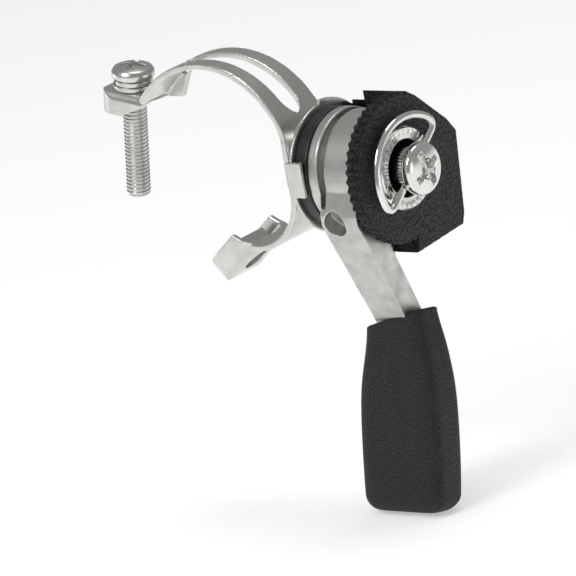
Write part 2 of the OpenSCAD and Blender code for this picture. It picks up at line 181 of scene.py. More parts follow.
def grid_faces(rows: int, cols: int, wrap_rows: bool, wrap_cols: bool) -> Array:
    """Quads of a grid of points, row by row.

    Args:
        rows: number of rows.
        cols: number of columns.
        wrap_rows: whether the last row joins the first.
        wrap_cols: whether the last column joins the first.

    Returns:
        One row of four point numbers for each quad.
    """
    r = np.arange(rows if wrap_rows else rows - 1)[:, None]
    c = np.arange(cols if wrap_cols else cols - 1)[None, :]
    r1, c1 = (r + 1) % rows, (c + 1) % cols
    quads = np.stack([r * cols + c, r * cols + c1, r1 * cols + c1, r1 * cols + c], -1)
    return quads.reshape(-1, 4)


# ---------- meshes ----------


def link(name: str, mesh: bpy.types.Mesh) -> bpy.types.Object:
    """Object of the mesh in the scene."""
    obj = bpy.data.objects.new(name, mesh)
    bpy.context.scene.collection.objects.link(obj)
    return obj


def weld(mesh: bpy.types.Mesh) -> None:
    """Joins points that coincide, drops faces without area and turns the faces outwards."""
    bm = bmesh.new()
    bm.from_mesh(mesh)
    bmesh.ops.remove_doubles(bm, verts=bm.verts, dist=WELD)
    bmesh.ops.dissolve_degenerate(bm, edges=bm.edges, dist=WELD)
    bmesh.ops.recalc_face_normals(bm, faces=bm.faces)
    bm.to_mesh(mesh)
    bm.free()


def grid_object(
    name: str,
    points: Array,
    wrap_rows: bool = False,
    wrap_cols: bool = True,
    sharp: float = 40,
) -> bpy.types.Object:
    """Object of a grid of points.

    Args:
        name: name of the object.
        points: rows x columns x 3 array in millimetres.
        wrap_rows: whether the last row joins the first.
        wrap_cols: whether the last column joins the first.
        sharp: angle in degrees above which an edge stays sharp.

    Returns:
        The object, welded at its poles.
    """
    rows, cols = points.shape[:2]
    mesh = bpy.data.meshes.new(name)
    faces = grid_faces(rows, cols, wrap_rows, wrap_cols)
    mesh.from_pydata((points.reshape(-1, 3) * MM).tolist(), [], faces.tolist())
    weld(mesh)
    mesh.polygons.foreach_set("use_smooth", np.ones(len(mesh.polygons), bool))
    mesh.set_sharp_from_angle(angle=math.radians(sharp))
    return link(name, mesh)


def turned(
    name: str,
    axes: Axes,
    profile: Array,
    around: int = 128,
    ring: bool = False,
    shape: Optional[Callable[[Array, Array, Array], Tuple[Array, Array]]] = None,
) -> bpy.types.Object:
    """Surface of revolution about the third row of the axes.

    A point is (r cos a, r sin a, h), where (r, h) runs along the profile and a goes once round.

    Args:
        name: name of the object.
        axes: local frame of the axis.
        profile: (radius, height) points.
        around: points round the axis.
        ring: whether the profile is a closed loop.
        shape: changes (r, h) for each angle, given the arrays r, h and angle.

    Returns:
        The object.
    """
    angle = np.arange(around)[None, :] / around * TURN
    r = np.repeat(profile[:, :1], around, 1)
    h = np.repeat(profile[:, 1:2], around, 1)
    if shape:
        r, h = shape(r, h, angle)
    local = np.stack([r * np.cos(angle), r * np.sin(angle), h], -1)
    return grid_object(name, axes.place(local), wrap_rows=ring)


def swept(name: str, path: Array, radius: float, normal: Array, around: int = 20) -> bpy.types.Object:
    """Round wire along a plane path, with a dome on each end.

    A point is path + r (cos a * side + sin a * normal), and r falls to 0 over a last half circle.

    Args:
        name: name of the object.
        path: points of the centre line.
        radius: radius of the wire.
        normal: unit normal of the path's plane.
        around: points round the wire.

    Returns:
        The object.
    """
    tangent = np.gradient(path, axis=0)
    tangent /= np.linalg.norm(tangent, axis=1)[:, None]
    cap = np.linspace(0, math.pi / 2, 6)
    start = path[:1] - tangent[:1] * (radius * np.sin(cap[::-1]))[:, None]
    end = path[-1:] + tangent[-1:] * (radius * np.sin(cap))[:, None]
    centre = np.vstack([start, path[1:-1], end])
    direction = np.vstack([np.repeat(tangent[:1], 6, 0), tangent[1:-1], np.repeat(tangent[-1:], 6, 0)])
    r = np.concatenate([radius * np.cos(cap[::-1]), np.full(len(path) - 2, radius), radius * np.cos(cap)])
    side = np.cross(direction, normal)
    a = np.arange(around) / around * TURN
    offset = np.cos(a)[None, :, None] * side[:, None] + np.sin(a)[None, :, None] * normal
    return grid_object(name, centre[:, None] + r[:, None, None] * offset)


def evaluated_copy(obj: bpy.types.Object) -> bpy.types.Mesh:
    """Mesh of the object with its modifiers applied."""
    graph = bpy.context.evaluated_depsgraph_get()
    return bpy.data.meshes.new_from_object(obj.evaluated_get(graph))


def mesh_points(mesh: bpy.types.Mesh) -> Array:
    """Points of the mesh as rows."""
    co = np.empty(len(mesh.vertices) * 3, np.float32)
    mesh.vertices.foreach_get("co", co)
    return co.reshape(-1, 3)


def softened(name: str, node: str, cell: float, rounds: int) -> bpy.types.Object:
    """Skin of a frame node with its edges rolled over, as a casting or a tumbled pressing has.

    The node is skinned with cells of one size, and each round moves a point half way to the middle
    of its neighbours. The point attribute "edge" holds how far the surface sank: 0 on flats, 1 on
    the sharpest outer edges, and negative in inner corners.

    Args:
        name: name of the object.
        node: frame node to skin.
        cell: size of a cell in millimetres.
        rounds: number of smoothing rounds.

    Returns:
        The object.
    """
    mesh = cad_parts[node].data.copy()
    mesh.materials.clear()
    weld(mesh)
    obj = link(name, mesh)
    skin = obj.modifiers.new("skin", "REMESH")
    skin.mode = "VOXEL"
    skin.voxel_size = cell * MM
    obj.data = evaluated_copy(obj)
    obj.modifiers.clear()
    raw = mesh_points(obj.data)
    roll = obj.modifiers.new("roll", "SMOOTH")
    roll.factor = 0.5
    roll.iterations = rounds
    obj.data = evaluated_copy(obj)
    obj.modifiers.clear()
    done = obj.data
    done.name = name
    normal = np.empty(len(done.vertices) * 3, np.float32)
    done.vertex_normals.foreach_get("vector", normal)
    sink = ((raw - mesh_points(done)) * normal.reshape(-1, 3)).sum(1) / (0.75 * cell * MM)
    attribute = done.attributes.new("edge", "FLOAT", "POINT")
    attribute.data.foreach_set("value", np.clip(sink, -1, 1).astype(np.float32))
    done.polygons.foreach_set("use_smooth", np.ones(len(done.polygons), bool))
    done.update()
    return obj


# ---------- shader groups ----------


class Tree:
    """Short ways to add nodes and links to a node tree."""

    def __init__(self, tree: bpy.types.NodeTree) -> None:
        """Wraps the tree."""
        self.tree = tree

    def add(self, kind: str, inputs: Optional[Dict] = None, **settings) -> bpy.types.Node:
        """Adds a node.

        Args:
            kind: type of the node without its "ShaderNode" prefix.
            inputs: value or output socket for each named or numbered input.
            **settings: properties of the node.

        Returns:
            The node.
        """
        node = self.tree.nodes.new("ShaderNode" + kind)
        for key, value in settings.items():
            setattr(node, key, value)
        for key, value in (inputs or {}).items():
            if isinstance(value, bpy.types.NodeSocket):
                self.tree.links.new(value, node.inputs[key])
            else:
                node.inputs[key].default_value = value
        return node

    def math(self, operation: str, a: object, b: object = 0.5, clamp: bool = False) -> bpy.types.NodeSocket:
        """Output of a Math node."""
        return self.add("Math", {0: a, 1: b}, operation=operation, use_clamp=clamp).outputs[0]

    def ramp(self, value: bpy.types.NodeSocket, low: float, high: float) -> bpy.types.NodeSocket:
        """0 to 1 as the value goes from low to high."""
        node = self.add("MapRange", {"Value": value, "From Min": low, "From Max": high})
        return node.outputs["Result"]

    def mix(self, factor: object, a: object, b: object) -> bpy.types.NodeSocket:
        """Colour between a and b."""
        node = self.add("Mix", data_type="RGBA")
        for socket, value in ((node.inputs[0], factor), (node.inputs[6], a), (node.inputs[7], b)):
            if isinstance(value, bpy.types.NodeSocket):
                self.tree.links.new(value, socket)
            else:
                socket.default_value = value
        return node.outputs[2]


@dataclass
class Effects:
    """The node groups that the finishes share."""

    wear_and_shade: bpy.types.NodeTree
    cast: bpy.types.NodeTree
    leather: bpy.types.NodeTree
    brush: bpy.types.NodeTree

    @staticmethod
    def _start(
        name: str, inputs: Sequence[Tuple[str, float]], outputs: Sequence[str]
    ) -> Tuple[Tree, Dict, bpy.types.Node]:
        """Starts a group with a Vector input, value inputs and value outputs."""
        group = bpy.data.node_groups.new(name, "ShaderNodeTree")
        group.interface.new_socket("Vector", in_out="INPUT", socket_type="NodeSocketVector")
        for label, value in inputs:
            socket = group.interface.new_socket(label, in_out="INPUT", socket_type="NodeSocketFloat")
            socket.default_value = value
        for label in outputs:
            group.interface.new_socket(label, in_out="OUTPUT", socket_type="NodeSocketFloat")
        source = group.nodes.new("NodeGroupInput")
        return Tree(group), {s.name: s for s in source.outputs}, group.nodes.new("NodeGroupOutput")

    @staticmethod
    def _wear_and_shade() -> bpy.types.NodeTree:
        """Outer edges rubbed bright, broken up by noise, and inner corners darkened as painted shade."""
        inputs = [("Edge", 0), ("Amount", 0.5), ("Size", 900)]
        t, i, out = Effects._start("edge_wear_and_shade", inputs, ["Worn", "Painted shade"])
        noise = t.add("TexNoise", {"Vector": i["Vector"], "Scale": i["Size"], "Detail": 3.0}).outputs["Fac"]
        broken = t.math("MULTIPLY", i["Edge"], t.math("ADD", noise, 0.55))
        worn = t.math("MULTIPLY", t.ramp(broken, 0.12, 0.5), i["Amount"], clamp=True)
        # painted shade: inner corners darkened, scaled by the same amount as the edge wear
        painted_shade = t.math("MULTIPLY", t.ramp(i["Edge"], -0.08, -0.45), i["Amount"], clamp=True)
        t.tree.links.new(worn, out.inputs["Worn"])
        t.tree.links.new(painted_shade, out.inputs["Painted shade"])
        return t.tree

    @staticmethod
    def _cast() -> bpy.types.NodeTree:
        """Tumbled metal: fine pits over a soft, uneven skin."""
        t, i, out = Effects._start("tumbled_skin", [("Size", 2600)], ["Height", "Tone"])
        fine = t.add("TexNoise", {"Vector": i["Vector"], "Scale": i["Size"], "Detail": 4.0, "Roughness": 0.6})
        wide_size = t.math("MULTIPLY", i["Size"], 0.13)
        wide = t.add("TexNoise", {"Vector": i["Vector"], "Scale": wide_size, "Detail": 3.0})
        pits = t.add("TexVoronoi", {"Vector": i["Vector"], "Scale": t.math("MULTIPLY", i["Size"], 0.6)})
        pit = t.ramp(pits.outputs["Distance"], 0.0, 0.3)
        height = t.math("ADD", t.math("MULTIPLY", fine.outputs["Fac"], 0.7), t.math("MULTIPLY", pit, 0.3))
        t.tree.links.new(height, out.inputs["Height"])
        t.tree.links.new(t.ramp(wide.outputs["Fac"], 0.3, 0.7), out.inputs["Tone"])
        return t.tree

    @staticmethod
    def _leather() -> bpy.types.NodeTree:
        """Leather grain: rounded cells of uneven size with creases between them."""
        t, i, out = Effects._start("leather_grain", [("Size", 1100), ("Crease", 0.12)], ["Height", "Tone"])
        bend_size = t.math("MULTIPLY", i["Size"], 0.7)
        bend = t.add("TexNoise", {"Vector": i["Vector"], "Scale": bend_size, "Detail": 2.0})
        shift = t.add("VectorMath", {0: bend.outputs["Color"], 1: (0.5, 0.5, 0.5)}, operation="SUBTRACT")
        scaled = t.add("VectorMath", {0: shift.outputs[0], "Scale": 0.0009}, operation="SCALE")
        moved = t.add("VectorMath", {0: i["Vector"], 1: scaled.outputs[0]}, operation="ADD").outputs[0]
        cells = t.add("TexVoronoi", {"Vector": moved, "Scale": i["Size"]}, feature="DISTANCE_TO_EDGE")
        limits = {"Value": cells.outputs["Distance"], "From Max": i["Crease"]}
        crease = t.add("MapRange", limits, interpolation_type="SMOOTHSTEP")
        fine_size = t.math("MULTIPLY", i["Size"], 3.5)
        fine = t.add("TexNoise", {"Vector": i["Vector"], "Scale": fine_size, "Detail": 3.0})
        height = t.math("ADD", crease.outputs[0], t.math("MULTIPLY", fine.outputs["Fac"], 0.45))
        t.tree.links.new(height, out.inputs["Height"])
        wide_size = t.math("MULTIPLY", i["Size"], 0.16)
        wide = t.add("TexNoise", {"Vector": i["Vector"], "Scale": wide_size, "Detail": 2.0})
        t.tree.links.new(t.ramp(wide.outputs["Fac"], 0.35, 0.65), out.inputs["Tone"])
        return t.tree

    @staticmethod
    def _brush() -> bpy.types.NodeTree:
        """Faint scratches in two directions over a cloudy plating."""
        t, i, out = Effects._start("plating", [("Size", 700)], ["Height", "Tone"])
        sizes = ((14.0, 1.0, 1.0), (1.0, 1.0, 16.0))
        lines = []
        for scale in sizes:
            turned_to = t.add("Mapping", {"Vector": i["Vector"], "Scale": scale, "Rotation": (0.3, 0.5, 0.2)})
            noise = t.add("TexNoise", {"Vector": turned_to.outputs[0], "Scale": i["Size"], "Detail": 3.0})
            lines.append(t.ramp(noise.outputs["Fac"], 0.3, 0.7))
        cloud_size = t.math("MULTIPLY", i["Size"], 0.35)
        cloud = t.add("TexNoise", {"Vector": i["Vector"], "Scale": cloud_size, "Detail": 4.0})
        t.tree.links.new(t.math("ADD", lines[0], lines[1]), out.inputs["Height"])
        t.tree.links.new(t.ramp(cloud.outputs["Fac"], 0.3, 0.72), out.inputs["Tone"])
        return t.tree

    @staticmethod
    def build() -> "Effects":
        """Builds every group once."""
        return Effects(Effects._wear_and_shade(), Effects._cast(), Effects._leather(), Effects._brush())


class Skin(Enum):
    """Which shared effect gives a finish its small relief."""

    CAST = "cast"
    LEATHER = "leather"
    BRUSH = "brush"


@dataclass(frozen=True)
class Finish:
    """A finish: colours, gloss and the scale and depth of its relief."""

    name: str
    colour: Tuple[float, float, float]
    second: Tuple[float, float, float]
    metallic: float
    rough: Tuple[float, float]
    skin: Skin
    size: float
    depth: float  # metres
    # worn sets the strength of the edge wear and also of the painted shade in inner corners
    worn: float = 0.0
    worn_colour: Tuple[float, float, float] = (0.85, 0.85, 0.84)
    specular: float = 0.5

    def build(self, effects: Effects) -> bpy.types.Material:
        """Builds the material.

        Args:
            effects: the shared groups.

        Returns:
            The material.
        """
        material = bpy.data.materials.new(self.name)
        material.use_nodes = True
        material.node_tree.nodes.clear()
        t = Tree(material.node_tree)
        place = t.add("TexCoord").outputs["Object"]
        relief = self._group(t, getattr(effects, self.skin.value), {"Vector": place, "Size": self.size})
        edge = t.add("Attribute", attribute_name="edge").outputs["Fac"]
        wear_and_shade = self._group(t, effects.wear_and_shade, {"Vector": place, "Edge": edge, "Amount": self.worn})
        tone = relief.outputs["Tone"]
        base = t.mix(tone, (*self.colour, 1), (*self.second, 1))
        # painted shade: inner corners darken towards 45 % of the second colour
        painted_shade = t.mix(wear_and_shade.outputs["Painted shade"], base, (*(0.45 * c for c in self.second), 1))
        colour = t.mix(wear_and_shade.outputs["Worn"], painted_shade, (*self.worn_colour, 1))
        spread = {"Value": tone, "To Min": self.rough[0], "To Max": self.rough[1]}
        gloss = t.add("MapRange", spread).outputs[0]
        rubbed = t.math("SUBTRACT", gloss, t.math("MULTIPLY", wear_and_shade.outputs["Worn"], 0.12), clamp=True)
        bump = t.add("Bump", {"Height": relief.outputs["Height"], "Distance": self.depth, "Strength": 1.0})
        shader = t.add(
            "BsdfPrincipled",
            {
                "Base Color": colour,
                "Metallic": self.metallic,
                "Roughness": rubbed,
                "Normal": bump.outputs[0],
                "Specular IOR Level": self.specular,
            },
        )
        t.add("OutputMaterial", {"Surface": shader.outputs[0]})
        return material

    @staticmethod
    def _group(t: Tree, group: bpy.types.NodeTree, inputs: Dict) -> bpy.types.Node:
        """Adds a group node with its inputs set."""
        node = t.add("Group", node_tree=group)
        for key, value in inputs.items():
            if isinstance(value, bpy.types.NodeSocket):
                t.tree.links.new(value, node.inputs[key])
            else:
                node.inputs[key].default_value = value
        return node


ZINC = Finish(
    "satin_zinc", (0.66, 0.655, 0.63), (0.56, 0.555, 0.53), 1.0, (0.24, 0.4),
    Skin.BRUSH, 700, 4e-6, 0.8, (0.88, 0.88, 0.86),
)
SCREW_STEEL = Finish(
    "screw_zinc", (0.7, 0.7, 0.68), (0.55, 0.55, 0.53), 1.0, (0.2, 0.36),
    Skin.BRUSH, 900, 3e-6,
)
PLAIN_STEEL = Finish(
    "oiled_steel", (0.42, 0.41, 0.4), (0.3, 0.3, 0.29), 1.0, (0.3, 0.45),
    Skin.BRUSH, 900, 3e-6,
)
NICKEL = Finish(
    "bright_nickel", (0.82, 0.81, 0.79), (0.72, 0.71, 0.69), 1.0, (0.1, 0.22),
    Skin.BRUSH, 800, 2e-6,
)
CASTING = Finish(
    "tumbled_casting", (0.62, 0.61, 0.585), (0.5, 0.49, 0.47), 1.0, (0.34, 0.5),
    Skin.CAST, 2600, 3.5e-5, 0.9, (0.85, 0.84, 0.82),
)
RING_BLACK = Finish(
    "ring_black", (0.012, 0.012, 0.013), (0.02, 0.02, 0.021), 0.0, (0.28, 0.42),
    Skin.CAST, 1500, 8e-6,
)
COVER_BLACK = Finish(
    "cover_black", (0.004, 0.004, 0.005), (0.009, 0.009, 0.010), 0.0, (0.36, 0.46),
    Skin.LEATHER, 760, 4.6e-4, 0.35, (0.03, 0.03, 0.031), 0.36,
)
RUBBER = Finish(
    "grip_rubber", (0.011, 0.011, 0.012), (0.018, 0.018, 0.019), 0.0, (0.46, 0.58),
    Skin.LEATHER, 1200, 1.9e-4, specular=0.42,
)
NYLON = Finish(
    "nylon", (0.78, 0.74, 0.64), (0.7, 0.66, 0.56), 0.0, (0.4, 0.5),
    Skin.CAST, 1500, 5e-6,
)
FIBRE = Finish(
    "fibre", (0.3, 0.16, 0.09), (0.22, 0.11, 0.06), 0.0, (0.6, 0.7),
    Skin.CAST, 2000, 1e-5,
)
FINISHES = (ZINC, SCREW_STEEL, PLAIN_STEEL, NICKEL, CASTING, RING_BLACK, COVER_BLACK, RUBBER, NYLON, FIBRE)


class Workshop:
    """Dresses pieces and hands them to the frame."""

    def __init__(self) -> None:
        """Builds the groups and the materials."""
        effects = Effects.build()
        self.materials = {f.name: f.build(effects) for f in FINISHES}

    def dress(self, obj: bpy.types.Object, finish: Finish) -> None:
        """Gives the object the finish alone."""
        obj.data.materials.clear()
        obj.data.materials.append(self.materials[finish.name])

    def fit(
        self, obj: bpy.types.Object, finish: Finish, body: Body, nodes: Sequence[str] = ()
    ) -> None:
        """Dresses a piece and puts it on its body.

        Args:
            obj: the piece.
            finish: its finish.
            body: the body that it rides on.
            nodes: the frame nodes that it replaces.
        """
        self.dress(obj, finish)
        if nodes:
            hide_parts(*nodes)
        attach(obj, body.value)
        log.info("%s: %d faces on %s", obj.name, len(obj.data.polygons), body.value)


# ---------- sub-assemblies ----------


@dataclass
class BarClamp:
    """The slotted strip with its two ears, and the nut in the lower ear."""

    cell: float = 0.18
    rounds: int = 5
    nut_cell: float = 0.14
    nut_rounds: int = 6

    def build(self, shop: Workshop) -> None:
        """Builds the strip and the nut."""
        strip = softened("strip", "clamp_band", self.cell, self.rounds)
        shop.fit(strip, ZINC, Body.FRAME, ["clamp_band"])
        nut = softened("square_nut", "clamp_nut", self.nut_cell, self.nut_rounds)
        shop.fit(nut, ZINC, Body.FRAME, ["clamp_nut"])


@dataclass
class ClampScrew:
    """The domed cross-recessed screw of the clamp with its split and flat washers."""

    tilt: float = 10.0  # degrees
    thread_d: float = 5.0
    pitch: float = 0.8
    thread_depth: float = 0.26
    length: float = 26.0
    head_d: float = 9.0
    head_h: float = 3.2
    flat_d: float = 8.6
    flat_t: float = 1.0
    split_d: float = 8.2
    split_t: float = 1.25
    cross_turn: float = 0.35  # radians
    cross_depth: float = 1.3
    well_depth: float = 1.7
    bevel: float = 0.5

    def axes(self, height: float) -> Axes:
        """Frame on the screw's axis, a height above the middle of the flat washer."""
        lean = math.radians(self.tilt)
        axis = np.array([math.sin(lean), 0, math.cos(lean)])
        origin = Box.of("clamp_flat_washer").centre + axis * height
        return Axes.along(origin, axis, [-1, 0, 0])

    def under_head(self) -> Axes:
        """Frame on the screw's axis at the underside of its head."""
        return self.axes(self.flat_t / 2 + self.split_t)

    def head(self) -> bpy.types.Object:
        """Head: height dome(r) less the cross recess, whose arms narrow towards the rim."""
        r1 = self.head_d / 2
        side = fillet([[2.4, 0], [r1 - 0.15, 0], [r1, 0.5], [r1, 1.35], [r1 - 0.5, 2.0]], 0.35, closed=False)
        radii = np.linspace(r1 - 0.52, 0, 90)
        dome = 2.0 + (self.head_h - 2.0) * np.sqrt(np.clip(1 - (radii / (r1 + 0.1)) ** 2, 0, 1)) ** 1.2
        profile = np.vstack([[[0, 0]], side, np.stack([radii, dome + (2.02 - dome[0])], 1)])

        def recess(r: Array, h: Array, angle: Array) -> Tuple[Array, Array]:
            """Sinks the arms of the cross and the well where they meet."""
            x, y = r * np.cos(angle - self.cross_turn), r * np.sin(angle - self.cross_turn)
            arm = np.minimum(np.abs(x), np.abs(y))
            reach = np.maximum(np.abs(x), np.abs(y))
            cut = (1 - smooth_step(arm, 0.42, 0.62)) * (1 - smooth_step(reach, 2.2, 2.7))
            well = 1 - smooth_step(r, 0.9, 1.3)
            top = h > 1.9
            return r, h - top * np.maximum(cut * self.cross_depth, well * self.well_depth)

        return turned("clamp_screw_head", self.under_head(), profile, 256, shape=recess)

    def thread(self) -> bpy.types.Object:
        """Thread: r = major radius less a trapezoid wave of (height / pitch - angle / turn)."""
        rows = int(self.length / self.pitch * 14)
        h = np.linspace(-self.length, 0.3, rows)
        r = np.full(rows, self.thread_d / 2)
        profile = np.vstack([[[0, -self.length]], np.stack([r, h], 1), [[0, 0.3]]])

        def wave(r: Array, h: Array, angle: Array) -> Tuple[Array, Array]:
            """Cuts the helical groove, and bevels the tip."""
            phase = np.abs(((h / self.pitch - angle / TURN) % 1) * 2 - 1)
            groove = self.thread_depth * smooth_step(phase, 0.2, 0.85)
            bevel = self.bevel * (1 - smooth_step(h, -self.length, -self.length + 0.8))
            return np.where(r > 0, r - groove - bevel, 0), h

        return turned("clamp_screw_thread", self.under_head(), profile, 56, shape=wave)

    def flat_washer(self) -> bpy.types.Object:
        """Flat washer with rolled edges."""
        r0, r1, t = self.thread_d / 2 + 0.2, self.flat_d / 2, self.flat_t / 2
        profile = fillet([[r0, -t], [r1, -t], [r1, t], [r0, t]], 0.25)
        return turned("flat_washer", self.axes(0), profile, 96, ring=True)

    def split_washer(self) -> bpy.types.Object:
        """Spring washer: a square section carried round a turn that climbs, open at its ends."""
        r0, r1, t = self.thread_d / 2 + 0.15, self.split_d / 2, self.split_t
        section = fillet([[r0, 0.12], [r1, 0.12], [r1, t - 0.12], [r0, t - 0.12]], 0.2)
        a = np.linspace(math.radians(66), math.radians(414), 90)[:, None]
        climb = 0.12 * (np.linspace(-1, 1, 90)[:, None])
        r, h = section[None, :, 0], section[None, :, 1] + climb
        local = np.stack([r * np.cos(a), r * np.sin(a), h + 0 * a], -1)
        ends = [np.repeat(local[k].mean(0)[None, None], local.shape[1], 1) for k in (0, -1)]
        local = np.concatenate([ends[0], local, ends[1]], 0)
        return grid_object("split_washer", self.axes(self.flat_t / 2).place(local))

    def build(self, shop: Workshop) -> None:
        """Builds the screw and its washers."""
        shop.fit(self.head(), SCREW_STEEL, Body.CLAMP_SCREW, ["clamp_screw"])
        shop.fit(self.thread(), SCREW_STEEL, Body.CLAMP_SCREW)
        shop.fit(self.flat_washer(), SCREW_STEEL, Body.CLAMP_WASHERS, ["clamp_flat_washer"])
        shop.fit(self.split_washer(), SCREW_STEEL, Body.CLAMP_WASHERS, ["clamp_lock_washer"])


@dataclass
class PivotBase:
    """The pressed cup, the black stop ring and the hidden parts round the post."""

    cup_cell: float = 0.16
    cup_rounds: int = 3
    ring_bore_r: float = 5.02
    ring_inset: float = 0.05
    ring_round: float = 0.35

    def build(self, shop: Workshop) -> None:
        """Builds the cup and the ring, and dresses the parts inside."""
        cup = softened("pressed_cup", "base_cup", self.cup_cell, self.cup_rounds)
        shop.fit(cup, ZINC, Body.FRAME, ["base_cup"])
        box = Box.of("stop_ring")
        r1, r0 = (box.high[1] - box.centre[1]) - self.ring_inset, self.ring_bore_r
        t = box.high[0] - box.low[0]
        profile = fillet([[r0, 0], [r1, 0], [r1, t], [r0, t]], self.ring_round)
        ring = turned("stop_ring_body", lever_axes(box.low[0]), profile, 160, ring=True)
        shop.fit(ring, RING_BLACK, Body.FRAME, ["stop_ring"])
        inside = {
            "pivot_post": PLAIN_STEEL,
            "inner_thrust_washer": PLAIN_STEEL,
            "outer_thrust_washer": PLAIN_STEEL,
            "spring_washer": PLAIN_STEEL,
            "inner_friction_washer": FIBRE,
            "outer_friction_washer": FIBRE,
            "lever_bush": NYLON,
        }
        for node, finish in inside.items():
            shop.dress(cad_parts[node], finish)


@dataclass
class LeverArm:
    """The cast drum with its arm, and the rubber cap."""

    cell: float = 0.19
    rounds: int = 4
    lean: float = -11.2  # degrees, of the cap
    root: Tuple[float, float] = (7.06, -2.06)  # of the near face's top, from the cap's box in Y and Z
    length: float = 39.0
    mouth_w: float = 14.2
    thick: float = 9.2
    wall: float = 1.1
    corner: float = 6.5  # exponent of the section
    end_round: float = 3.2
    side_rows: int = 70
    end_rows: int = 18
    slant: float = 2.1

    @staticmethod
    def eased(depth: Array, width: Array, down: Array) -> Array:
        """Width at each depth, after a running mean over 3.25 mm of the straight-line curve."""
        fine = np.arange(-3, 43, 0.25)
        curve = np.pad(np.interp(fine, depth, width), 6, "edge")
        return np.interp(down, fine, np.convolve(curve, np.ones(13) / 13, "valid"))

    def casting(self) -> bpy.types.Object:
        """Drum and arm with rolled edges."""
        return softened("lever_casting", "lever", self.cell, self.rounds)

    def cap(self) -> bpy.types.Object:
        """Rubber cap: a rounded box section |x/a|^n + |y/b|^n = 1 carried down from the mouth.

        The half-width a and the thickness b are smoothed curves of the depth, and the mouth is cut
        on a slant and turns in over a round lip.
        """
        box = Box.of("grip_cap")
        lean = math.radians(self.lean)
        origin = np.array([box.centre[0], box.low[1] + self.root[0], box.high[2] + self.root[1]])
        a = np.arange(144) / 144 * TURN
        cx = np.sign(np.cos(a)) * np.abs(np.cos(a)) ** (2 / self.corner)
        cy = np.sign(np.sin(a)) * np.abs(np.sin(a)) ** (2 / self.corner)
        depth = np.array([0, 2, 5, 8, 12, 15, 19, 23, 28, 33, 36, 39.0])
        left = np.array([6.9, 7.0, 7.35, 7.8, 8.7, 9.2, 9.5, 9.6, 9.65, 9.65, 9.6, 9.5])
        right = np.array([7.2, 7.7, 8.6, 9.4, 10.1, 10.4, 10.6, 10.7, 10.75, 10.75, 10.7, 10.5])
        thick = np.array([7.8, 8.1, 8.6, 8.95, 9.15, 9.2, 9.2, 9.15, 9.0, 8.7, 8.4, 8.0])
        turn = np.linspace(0.05, math.pi / 2, self.end_rows)
        straight = self.length - self.end_round
        side = np.linspace(0, straight, self.side_rows)
        down = np.concatenate([side, straight + self.end_round * np.sin(turn)])
        inset = np.concatenate([np.zeros(self.side_rows), self.end_round * (1 - np.cos(turn))])
        wl = self.eased(depth, left, down) - inset
        wr = self.eased(depth, right, down) - inset
        tk = np.interp(down, depth, thick) - 1.2 * inset
        lip = np.linspace(0, math.pi, 9)
        lip_r = self.wall / 2
        # rows: from inside the mouth, over the lip, down the outside, to the pole at the end
        shrink = np.concatenate([np.full(5, self.wall), lip_r + lip_r * np.cos(lip), np.zeros(len(down))])
        drop = np.concatenate([np.linspace(7, 0.8, 5), lip_r - lip_r * np.sin(lip), down + lip_r])
        width_l = np.interp(drop, down, wl) - shrink
        width_r = np.interp(drop, down, wr) - shrink
        t_all = np.interp(drop, down, tk) - 2 * shrink
        tail = len(down)
        width_l[-tail:], width_r[-tail:], t_all[-tail:] = wl, wr, tk
        half = np.where(cx[None, :] < 0, width_l[:, None], width_r[:, None])
        x = half * cx[None, :]
        mid = self.thick / 2
        near = cy[None, :] < 0
        near_half = (mid - 0.15) * (t_all[:, None] / self.thick) ** 0.5
        y = mid + np.where(near, near_half, t_all[:, None] - mid) * cy[None, :]
        slant = self.slant * x / (self.mouth_w / 2) * np.clip(1 - drop[:, None] / 9, 0, 1)
        z = -drop[:, None] + slant
        rows = np.stack([x, y, z], -1)
        inner = np.tile(rows[0].mean(0), (1, len(a), 1))
        end = np.tile(rows[-1].mean(0) - [0, 0, 0.25], (1, len(a), 1))
        local = np.concatenate([inner, rows, end], 0)
        out = np.stack(
            [
                local[..., 0],
                local[..., 1] * math.cos(lean) - local[..., 2] * math.sin(lean),
                local[..., 1] * math.sin(lean) + local[..., 2] * math.cos(lean),
            ],
            -1,
        )
        return grid_object("rubber_cap", origin + out, sharp=70)

    def build(self, shop: Workshop) -> None:
        """Builds the casting and the cap."""
        shop.fit(self.casting(), CASTING, Body.LEVER, ["lever"])
        shop.fit(self.cap(), RUBBER, Body.LEVER, ["grip_cap"])


